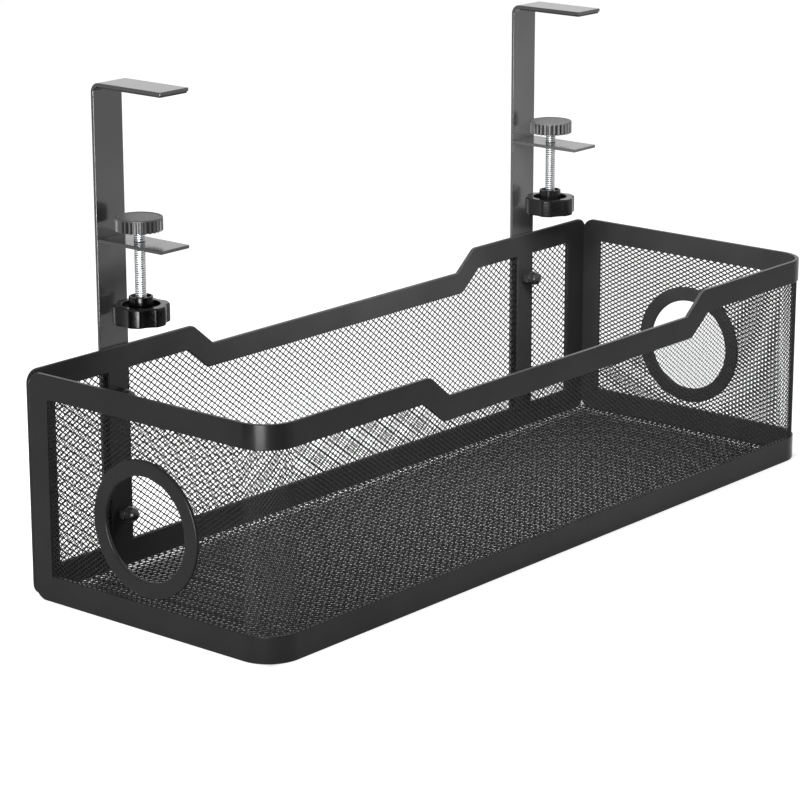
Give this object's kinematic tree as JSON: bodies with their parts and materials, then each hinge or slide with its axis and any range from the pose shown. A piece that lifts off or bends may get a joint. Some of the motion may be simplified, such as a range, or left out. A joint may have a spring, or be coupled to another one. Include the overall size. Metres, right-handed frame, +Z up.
{
  "type": "under-desk cable tray",
  "caption": "Long black wire-mesh basket with solid rails, a round cable port in each end, and screw clamps on upright brackets that hang it under a desk edge.",
  "frame": {"origin": "middle of the tray's footprint, on the plane that its bottom rails stand on", "axes": "+X along the tray, +Y from the front to the back where the brackets are, +Z up"},
  "size_m": [0.4, 0.1458, 0.222],
  "materials": {
    "frame_black": "satin black powder coat",
    "mesh_black": "black coated wire",
    "bracket_black": "satin black powder coat",
    "zinc": "bright zinc plate",
    "knob_plastic": "glossy black",
    "pad_plastic": "matt black",
    "liner_rubber": "matt black",
    "bolt_black": "black oxide, semi-gloss"
  },
  "bodies": {
    "tray": {"wrap_frame": "frame_black", "back_frame": "frame_black", "wrap_mesh": "mesh_black", "back_mesh": "mesh_black", "floor_mesh": "mesh_black", "port_ring_left": "frame_black", "bracket_left": "bracket_black", "hook_liner_left": "liner_rubber", "clamp_lip_left": "bracket_black", "bolt_left_lower": "bolt_black", "cap_nut_left_lower": "bolt_black", "bolt_left_upper": "bolt_black", "cap_nut_left_upper": "bolt_black", "port_ring_right": "frame_black", "bracket_right": "bracket_black", "hook_liner_right": "liner_rubber", "clamp_lip_right": "bracket_black", "bolt_right_lower": "bolt_black", "cap_nut_right_lower": "bolt_black", "bolt_right_upper": "bolt_black", "cap_nut_right_upper": "bolt_black"},
    "pad_left": {"clamp_pad_left": "pad_plastic"},
    "screw_left": {"clamp_screw_left": "zinc", "clamp_knob_left": "knob_plastic"},
    "pad_right": {"clamp_pad_right": "pad_plastic"},
    "screw_right": {"clamp_screw_right": "zinc", "clamp_knob_right": "knob_plastic"}
  },
  "joints": [
    {"name": "pad_travel_left", "type": "slide", "parent": "tray", "child": "pad_left", "axis": [0, 0, 1], "range_m": [-0.0047, 0.0225]},
    {"name": "screw_turn_left", "type": "hinge", "parent": "pad_left", "child": "screw_left", "pos_m": [-0.146, 0.0537, 0.1286], "axis": [0, 0, 1], "range_deg": [-1693, 8101]},
    {"name": "pad_travel_right", "type": "slide", "parent": "tray", "child": "pad_right", "axis": [0, 0, 1], "range_m": [-0.0047, 0.0225]},
    {"name": "screw_turn_right", "type": "hinge", "parent": "pad_right", "child": "screw_right", "pos_m": [0.1485, 0.0537, 0.1286], "axis": [0, 0, 1], "range_deg": [-1693, 8101]}
  ],
  "couplings": [
    {"joint": "screw_turn_left", "follows": "pad_travel_left", "rad_per_m": 6283.2},
    {"joint": "screw_turn_right", "follows": "pad_travel_right", "rad_per_m": 6283.2}
  ]
}
